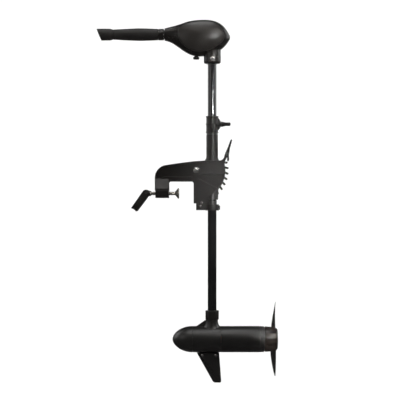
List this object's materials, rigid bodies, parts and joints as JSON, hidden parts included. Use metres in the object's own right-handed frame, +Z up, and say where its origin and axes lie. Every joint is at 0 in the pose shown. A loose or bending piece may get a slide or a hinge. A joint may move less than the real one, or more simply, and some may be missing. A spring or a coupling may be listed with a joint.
{
  "type": "trolling motor",
  "caption": "Transom-mount electric trolling motor: twist tiller head, long tube, clamp bracket with tilt ratchet, motor pod with a skeg, and propeller.",
  "frame": {"origin": "middle of the flat seat under the bracket's arm, which rests on top of the boat's transom", "axes": "+Z up along the shaft, +X aft towards the propeller, -Y port; the tiller points to -X"},
  "size_m": [0.6037, 0.108, 1.2101],
  "materials": {
    "bracket_nylon": "glass-filled nylon, satin black",
    "hinge_nylon": "glass-filled nylon, satin black",
    "head_plastic": "satin black moulding",
    "panel_plastic": "satin dark grey moulding",
    "composite_tube": "gloss black composite",
    "enamel": "semi-gloss black enamel on die-cast metal",
    "grip_rubber": "matt black thermoplastic rubber",
    "propeller_nylon": "gloss black nylon",
    "stainless": "stainless steel",
    "zinc": "bright zinc-plated steel",
    "acetal": "black acetal",
    "iron": "laminated or pressed iron",
    "ferrite": "sintered ferrite",
    "copper": "enamelled copper",
    "carbon": "carbon brush"
  },
  "bodies": {
    "clamp": {"clamp_bracket": "bracket_nylon", "pivot_bolt": "stainless", "pivot_nut": "stainless", "lever_pin": "stainless", "lever_spring": "stainless"},
    "pad_port": {"clamp_pad_port": "zinc"},
    "screw_port": {"clamp_screw_port": "zinc", "clamp_handle_port": "bracket_nylon", "handle_pin_port": "stainless"},
    "pad_starboard": {"clamp_pad_starboard": "zinc"},
    "screw_starboard": {"clamp_screw_starboard": "zinc", "clamp_handle_starboard": "bracket_nylon", "handle_pin_starboard": "stainless"},
    "lever": {"tilt_lever": "hinge_nylon"},
    "hinge": {"tilt_hinge": "hinge_nylon", "heel_bolt_1": "stainless", "heel_bolt_2": "stainless", "sleeve_bush": "acetal", "heel_bush": "acetal"},
    "collar": {"depth_collar": "hinge_nylon"},
    "knob": {"depth_knob": "hinge_nylon", "knob_stud": "stainless"},
    "shaft": {"shaft_tube": "composite_tube", "head_shell_port": "head_plastic", "head_shell_starboard": "head_plastic", "head_panel_port": "panel_plastic", "head_panel_starboard": "panel_plastic", "head_bolt": "stainless", "head_nut": "stainless", "cable_gland": "grip_rubber", "speed_switch": "head_plastic", "nose_cone": "enamel", "centre_housing": "enamel", "coupling_nut": "hinge_nylon", "motor_tube": "enamel", "end_bell": "enamel", "skeg": "enamel", "skeg_screw_front": "stainless", "skeg_screw_rear": "stainless", "magnet_upper": "ferrite", "magnet_lower": "ferrite", "bearing_carrier": "iron", "front_bearing": "stainless", "rear_bearing": "stainless", "shaft_seal": "grip_rubber", "brush_plate": "head_plastic", "brush_upper": "carbon", "brush_lower": "carbon"},
    "twist": {"twist_collar": "head_plastic"},
    "tiller": {"tiller_tube": "zinc", "tiller_grip": "grip_rubber", "tiller_end_cap": "grip_rubber"},
    "rotor": {"motor_shaft": "stainless", "armature_core": "iron", "winding_front": "copper", "winding_rear": "copper", "commutator": "copper", "propeller": "propeller_nylon", "shear_pin": "stainless", "propeller_nut": "stainless"}
  },
  "joints": [
    {"name": "clamp_turn_port", "type": "hinge", "parent": "pad_port", "child": "screw_port", "pos_m": [-0.1, -0.036, -0.0397], "axis": [1, 0, 0], "range_deg": [-2880, 2160]},
    {"name": "pad_advance_port", "type": "slide", "parent": "clamp", "child": "pad_port", "axis": [1, 0, 0], "range_m": [-0.0201, 0.0151]},
    {"name": "clamp_turn_starboard", "type": "hinge", "parent": "pad_starboard", "child": "screw_starboard", "pos_m": [-0.1, 0.036, -0.0397], "axis": [1, 0, 0], "range_deg": [-2880, 2160]},
    {"name": "pad_advance_starboard", "type": "slide", "parent": "clamp", "child": "pad_starboard", "axis": [1, 0, 0], "range_m": [-0.0201, 0.0151]},
    {"name": "tilt", "type": "hinge", "parent": "clamp", "child": "hinge", "pos_m": [0.0504, 0, 0.0364], "axis": [0, -1, 0], "range_deg": [0, 60.9]},
    {"name": "lever_pull", "type": "hinge", "parent": "clamp", "child": "lever", "pos_m": [0.152, 0, 0.092], "axis": [0, 1, 0], "range_deg": [-12, 14], "stiffness_Nm_per_rad": 0.5},
    {"name": "steer", "type": "hinge", "parent": "hinge", "child": "collar", "pos_m": [0.1034, 0, 0.16], "axis": [0, 0, 1], "range_deg": [-180, 180]},
    {"name": "depth", "type": "slide", "parent": "collar", "child": "shaft", "axis": [0, 0, 1], "range_m": [-0.175, 0.33]},
    {"name": "knob_turn", "type": "hinge", "parent": "collar", "child": "knob", "pos_m": [0.14, 0, 0.1914], "axis": [1, 0, 0], "range_deg": [0, 720]},
    {"name": "prop_spin", "type": "hinge", "parent": "shaft", "child": "rotor", "pos_m": [0.3, 0, -0.5259], "axis": [1, 0, 0], "continuous": true},
    {"name": "speed_twist", "type": "hinge", "parent": "shaft", "child": "twist", "pos_m": [-0.06, 0, 0.4907], "axis": [1, 0, 0], "range_deg": [-67.5, 112.5]},
    {"name": "tiller_reach", "type": "slide", "parent": "twist", "child": "tiller", "axis": [-1, 0, 0], "range_m": [0, 0.14]}
  ],
  "couplings": [
    {"joint": "pad_advance_port", "follows": "clamp_turn_port", "m_per_rad": 0.00039789},
    {"joint": "pad_advance_starboard", "follows": "clamp_turn_starboard", "m_per_rad": 0.00039789}
  ]
}
